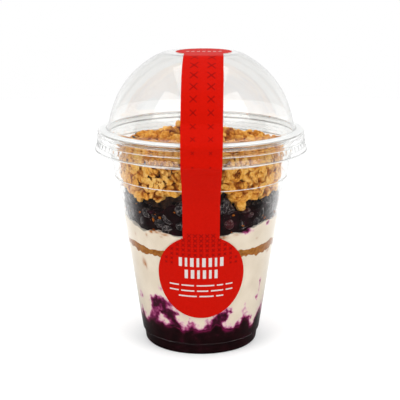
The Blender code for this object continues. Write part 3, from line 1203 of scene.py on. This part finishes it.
# %% [markdown]
# ## The berries
#
# They are whole dark berries, thawed and softened in their own juice: nearly black, with a
# wet gloss, a faint waxy bloom and a small crown at one end. A dark core of juice stands
# behind them, so that no light shows through.

# %% Model one berry
CROWN_START = 0.86

deselect()
bpy.ops.mesh.primitive_uv_sphere_add(segments=20, ring_count=12, radius=1.0)
berry = bpy.context.object
select_faces(berry, lambda centre: centre.z > CROWN_START)
bpy.ops.mesh.inset(thickness=0.05, depth=0.07)
bpy.ops.mesh.inset(thickness=0.08, depth=-0.2)
bpy.ops.mesh.select_all(action="SELECT")
bpy.ops.transform.resize(value=(1, 1, 0.9))
leave_faces()
dents = bpy.data.textures.new("soft dents", "CLOUDS")
dents.noise_scale = 0.8
modify(berry, "DISPLACE", texture=dents, strength=0.45, mid_level=0.5)
print("berry:", len(berry.data.polygons), "faces")

# %% [markdown]
# The skin is nearly black, and its lighter patches are the faint waxy bloom. Thin pale veins,
# where the noise crosses its middle value, are painted glints of light on the wet skin. One
# berry in twenty or so is redder. Wrinkles are about a millimetre wide.

# %% Berry material
berry_material, add = new_material(
    "wet dark berry skin", "17131A", Roughness=0.3, IOR=1.4, Specular_IOR_Level=0.3
)
place = add("TexCoord").outputs["Object"]
tint = add("Attribute", {"attribute_name": "tint"}).outputs["Fac"]
# Painted highlight: the pale stop in the middle of these tones draws glints of light.
SKIN_AND_GLINT_TONES = (
    (0.3, "0E0A0C"), (0.47, "161113"), (0.495, "A89C9A"), (0.52, "161113"), (0.64, "20181B"),
    (0.72, "40343A"),
)
skin_noise = add("TexNoise", Vector=place, Scale=per_mm(3.6), Detail=3.0, Distortion=2.0)
skin_with_painted_glints = add("ValToRGB", stops=SKIN_AND_GLINT_TONES, Fac=skin_noise)
REDDER = ((0.0, "000000"), (0.9, "000000"), (0.94, "C0C0C0"))
ruddy = add("ValToRGB", stops=REDDER, Fac=tint)
red = linear("5A0E18")
add("Mix", MIX, i0=ruddy, i6=skin_with_painted_glints, i7=red, to="Base Color")
wrinkles = add("TexNoise", Vector=place, Scale=per_mm(1.3), Detail=3.0)
add("Bump", Strength=0.7, Distance=0.6 * MM, Height=wrinkles, to="Normal")
print("berry material:", berry_material.name)

# %% [markdown]
# The berries lie in five rows against the wall, up to an uneven edge. Behind them the core
# stands back from the wall and has an uneven side, so that it shows as shadow and juice.

# %% Pack the berries
BERRY_HIGH = (
    (-120, 73), (-75, 75), (-62, 73.5), (-45, 71.6), (-30, 72.0), (-22, 76.0), (0, 77.0),
    (15, 78.0), (25, 73.0), (33, 70.4), (42, 71.8), (50, 74.0), (62, 75.0), (120, 73),
    (180, 75),
)
BERRY_ROWS, BERRIES_IN_ROW = 5, 30
BERRY_START, BERRY_RISE, ROW_TURN = 61.5, 3.6, 7
copies = []
for row in range(BERRY_ROWS):
    for index in range(BERRIES_IN_ROW):
        angle = index * 360 / BERRIES_IN_ROW + row * ROW_TURN + chance.uniform(-4, 4)
        height = BERRY_START + row * BERRY_RISE + chance.uniform(-1.2, 1.2)
        size = chance.uniform(2.4, 4.8)
        if height - 0.4 * size < berry_low(angle) or height > at_angle(BERRY_HIGH, angle) - 1:
            continue
        radius = inner_radius(height) - size * chance.uniform(0.9, 1.3)
        copies.append(copy_at([berry], on_ring(angle, radius, height), size, 0.35))
join_copies(copies, "berries", 0.5, berry_material)
retire([berry])


def berry_high(degrees):
    """The top of the berries' core at an angle."""
    return at_angle(BERRY_HIGH, degrees) - 1.5


def core(name, low, high, inset, material, rough, cad_node):
    """A body of food that stands back from the wall, with an uneven side."""
    piece = layer(name, low, high, 1.0, material, cad_node)
    for vertex in piece.data.vertices:
        reach = math.hypot(vertex.co.x, vertex.co.y)
        if reach > 0.02:
            relief = noise.noise(vertex.co / (rough * MM))
            scale = 1 - (inset + 1.2 * relief) * MM / reach
            vertex.co.x *= scale
            vertex.co.y *= scale


under_berries = edge(BERRY_LOW, 0.7, 23, -1.0)
core("berry_juice_core", under_berries, berry_high, 1.5, jam_material, 4.0, "berry_layer")

# %% [markdown]
# ## The granola
#
# Granola is rolled oats baked with syrup: rounded flakes, three or four millimetres across,
# stuck to each other in clusters like petals. A cluster is modelled as a small core with
# flakes round it. Each point also keeps how far out it lies, as `open`, so that the
# material can paint shade down between the flakes, where less light reaches.

# %% Model the clusters
bends = bpy.data.textures.new("flake bends", "CLOUDS")
bends.noise_scale = 0.45


def flake(direction, reach, size):
    """An oat flake that leans against a cluster's core."""
    deselect()
    bpy.ops.mesh.primitive_ico_sphere_add(subdivisions=2, radius=size)
    made = bpy.context.object
    made.scale = (1.0, chance.uniform(0.7, 1.0), chance.uniform(0.45, 0.7))
    bpy.ops.object.transform_apply(location=False, rotation=False, scale=True)
    modify(made, "DISPLACE", texture=bends, strength=0.9 * size, mid_level=0.5)
    lean = Euler([chance.gauss(0, 0.45), chance.gauss(0, 0.45), chance.uniform(0, math.tau)])
    made.rotation_euler = (
        direction.to_track_quat("Z", "Y").to_matrix() @ lean.to_matrix()
    ).to_euler()
    made.location = direction * reach
    bpy.ops.object.transform_apply(location=True, rotation=True, scale=True)
    return made


FLAKES = 8
clusters = []
for shape in range(6):
    deselect()
    bpy.ops.mesh.primitive_ico_sphere_add(subdivisions=1, radius=0.55)
    flakes = [bpy.context.object]
    for index in range(FLAKES):
        rise = 1 - 2 * (index + 0.5) / FLAKES
        across = math.sqrt(1 - rise * rise)
        angle = index * 2.4 + chance.uniform(-0.4, 0.4)
        direction = Vector((across * math.cos(angle), across * math.sin(angle), rise))
        flakes.append(flake(direction, chance.uniform(0.42, 0.62), chance.uniform(0.4, 0.68)))
    cluster = join(flakes)
    reaches = [vertex.co.length for vertex in cluster.data.vertices]
    add_attribute(cluster, "open", [min(1, max(0, (r - 0.45) / 0.5)) for r in reaches])
    clusters.append(cluster)
print("cluster shapes:", [len(c.data.polygons) for c in clusters])

# %% [markdown]
# Toasting leaves every tone from straw to brown, so the colour comes from the copy's tint
# and from a grain of about a millimetre.

# %% Granola material
granola_material, add = new_material(
    "toasted oat cluster", "D89A48", Roughness=0.6, IOR=1.45, Specular_IOR_Level=0.06
)
place = add("TexCoord").outputs["Object"]
tint = add("Attribute", {"attribute_name": "tint"}).outputs["Fac"]
outer = add("Attribute", {"attribute_name": "open"}).outputs["Fac"]
grain = add("TexNoise", Vector=place, Scale=per_mm(1.3), Detail=4.0)
toasted = add("Math", {"operation": "MULTIPLY_ADD"}, i0=tint, i1=0.3, i2=grain)
OAT_TONES = ((0.2, "9C5A18"), (0.42, "D4862A"), (0.62, "F2AE4C"), (0.88, "FCCA76"))
tone = add("ValToRGB", stops=OAT_TONES, Fac=toasted)
# Painted shade: points down between the flakes are darkened, as if in shadow.
CREVICE_SHADE_TONES = ((0.0, "3E2010"), (0.38, "BE946A"), (0.72, "FFFFFF"))
depth = add("ValToRGB", stops=CREVICE_SHADE_TONES, Fac=outer)
darken = {"data_type": "RGBA", "blend_type": "MULTIPLY"}
add("Mix", darken, i0=1.0, i6=tone, i7=depth, to="Base Color")
add("Bump", Strength=0.5, Distance=0.4 * MM, Height=grain, to="Normal")
print("granola material:", granola_material.name)

# %% [markdown]
# Clusters stand in rows against the wall, a second set fills the gaps behind them, and a
# third is heaped on top in rings, over a mound with two lumps.

# %% Pack the granola
GRANOLA_EDGE = 97.5
WALL_TOP = 94.0
FILL_HEIGHT, MEAN_RADIUS = 28, 38


def wall_clusters(spacing, rise, depth, start):
    """Clusters in rows against the wall, or that far behind it."""
    made = []
    in_row = round(math.tau * MEAN_RADIUS / spacing)
    for row in range(math.ceil(FILL_HEIGHT / rise)):
        for index in range(in_row):
            angle = (index + 0.5 * (row % 2)) * 360 / in_row
            angle += chance.uniform(-1.8, 1.8)
            height = start + row * rise + chance.uniform(-1.0, 1.0)
            size = chance.uniform(3.3, 5.0)
            if height - 0.75 * size < at_angle(BERRY_HIGH, angle) or height > WALL_TOP:
                continue
            radius = inner_radius(height) - size * chance.uniform(1.0, 1.2) - depth
            made.append(copy_at(clusters, on_ring(angle, radius, height), size))
    return made


copies = wall_clusters(6.6, 5.2, 0.0, 73.0)
join_copies(copies, "granola_wall_clusters", 1.6, granola_material)
copies = wall_clusters(7.5, 5.6, 3.6, 75.0)
join_copies(copies, "granola_inner_clusters", 2.4, granola_material)

HEAP_RADIUS, HEAP_STEP, HEAP_SPACING = 35, 4.8, 5.4
# Painted shade: the heap's clusters take darker tints, to hold down the stronger light that falls
# on them from overhead.
HEAP_PAINTED_SHADE = -0.25


def heap_height(x, y):
    """The heap's height in mm over a place in mm."""
    reach = min(1.0, math.hypot(x, y) / 42.5)
    crown = 5.5 * (1 - reach**2) - 2.0
    lump = 6.0 * math.exp(-((x + 10) ** 2 + (y + 2) ** 2) / 50)
    lump += 3.2 * math.exp(-((x - 8) ** 2 + y**2) / 90)
    rough = 1.2 * noise.noise(Vector((x / 9, y / 9, 4)))
    return GRANOLA_EDGE + crown + lump + rough


copies = []
ring = 0.0
while ring < HEAP_RADIUS:
    count = max(1, round(math.tau * ring / HEAP_SPACING))
    for index in range(count):
        angle = index * 360 / count + chance.uniform(-4, 4)
        x, y, _ = on_ring(angle, ring + chance.uniform(-0.8, 0.8), 0)
        size = chance.uniform(2.6, 4.8)
        height = heap_height(x, y) - 0.8 * size + chance.uniform(-0.8, 1.0)
        copies.append(copy_at(clusters, (x, y, height), size, lighter=HEAP_PAINTED_SHADE))
    ring += HEAP_STEP
join_copies(copies, "granola_heap_clusters", 2.4, granola_material)

# %% [markdown]
# Loose crumbs have fallen between the berries and lie along the foot of the dome. A crumb
# is one small flake.

# %% Scatter the crumbs
DARKER_CRUMB = -0.6
FLANGE_RADIUS, FLANGE_LOW, FLANGE_HIGH = 42.8, 103.9, 105
crumb = flake(Vector((0, 0, 1)), 0.0, 1.0)
add_attribute(crumb, "open", [0.42] * len(crumb.data.vertices))
copies = []
for index in range(56):
    angle, height = chance.uniform(-180, 180), chance.gauss(66, 4.5)
    if berry_low(angle) - 1.0 < height < 76:
        size = chance.uniform(0.3, 0.8)
        place = on_ring(angle, inner_radius(height) - 0.5 * size, height)
        copies.append(copy_at([crumb], place, size, 0.6, lighter=DARKER_CRUMB))
for index in range(30):
    angle, size = chance.uniform(-180, 180), chance.uniform(0.2, 0.45)
    place = on_ring(angle, FLANGE_RADIUS, chance.uniform(FLANGE_LOW, FLANGE_HIGH))
    copies.append(copy_at([crumb], place, size, 0.4))
join_copies(copies, "granola_crumbs", 0.05, granola_material)

# %% [markdown]
# A few dark chips of chocolate lie on the heap and show between the clusters.

# %% Scatter the chips
chip_material, add = new_material(
    "dark chocolate chip", "2C1A16", Roughness=0.45, IOR=1.45, Specular_IOR_Level=0.15
)
mottle(add, 1.0, 3.0, "201210", "3A2420")
copies = []
for index in range(9):
    x, y, _ = on_ring(chance.uniform(-180, 180), chance.uniform(6, 34), 0)
    size = chance.uniform(1.6, 2.6)
    copies.append(copy_at([crumb], (x, y, heap_height(x, y) - 0.6), size, 0.4))
for index in range(22):
    angle, height = chance.uniform(-180, 180), chance.uniform(80, 96)
    place = on_ring(angle, inner_radius(height) - 3.4, height)
    copies.append(copy_at([crumb], place, chance.uniform(1.4, 2.4), 0.4))
join_copies(copies, "dark_chips", 2.0, chip_material)
retire([crumb])

# %% [markdown]
# The core behind the clusters is granola in its own shadow, so it is dark and rough.

# %% The granola's core
CORE_DEPTH, CORE_INSET = 5.5, 6.5
core_material, add = new_material("granola in shadow", "3A2012", Roughness=0.8)
grain = mottle(add, 2.2, 5.0, "1E0F0C", "56321A", low=0.35)
add("Bump", Strength=0.8, Distance=1.0 * MM, Height=grain, to="Normal")

core(
    "granola_core",
    lambda degrees: berry_high(degrees) + 0.2,
    lambda degrees: GRANOLA_EDGE - CORE_DEPTH,
    CORE_INSET,
    core_material,
    3.0,
    "granola",
)
retire(clusters)

# %% [markdown]
# ## Finish
#
# The view layer is brought up to date.

# %% Finish
bpy.context.view_layer.update()
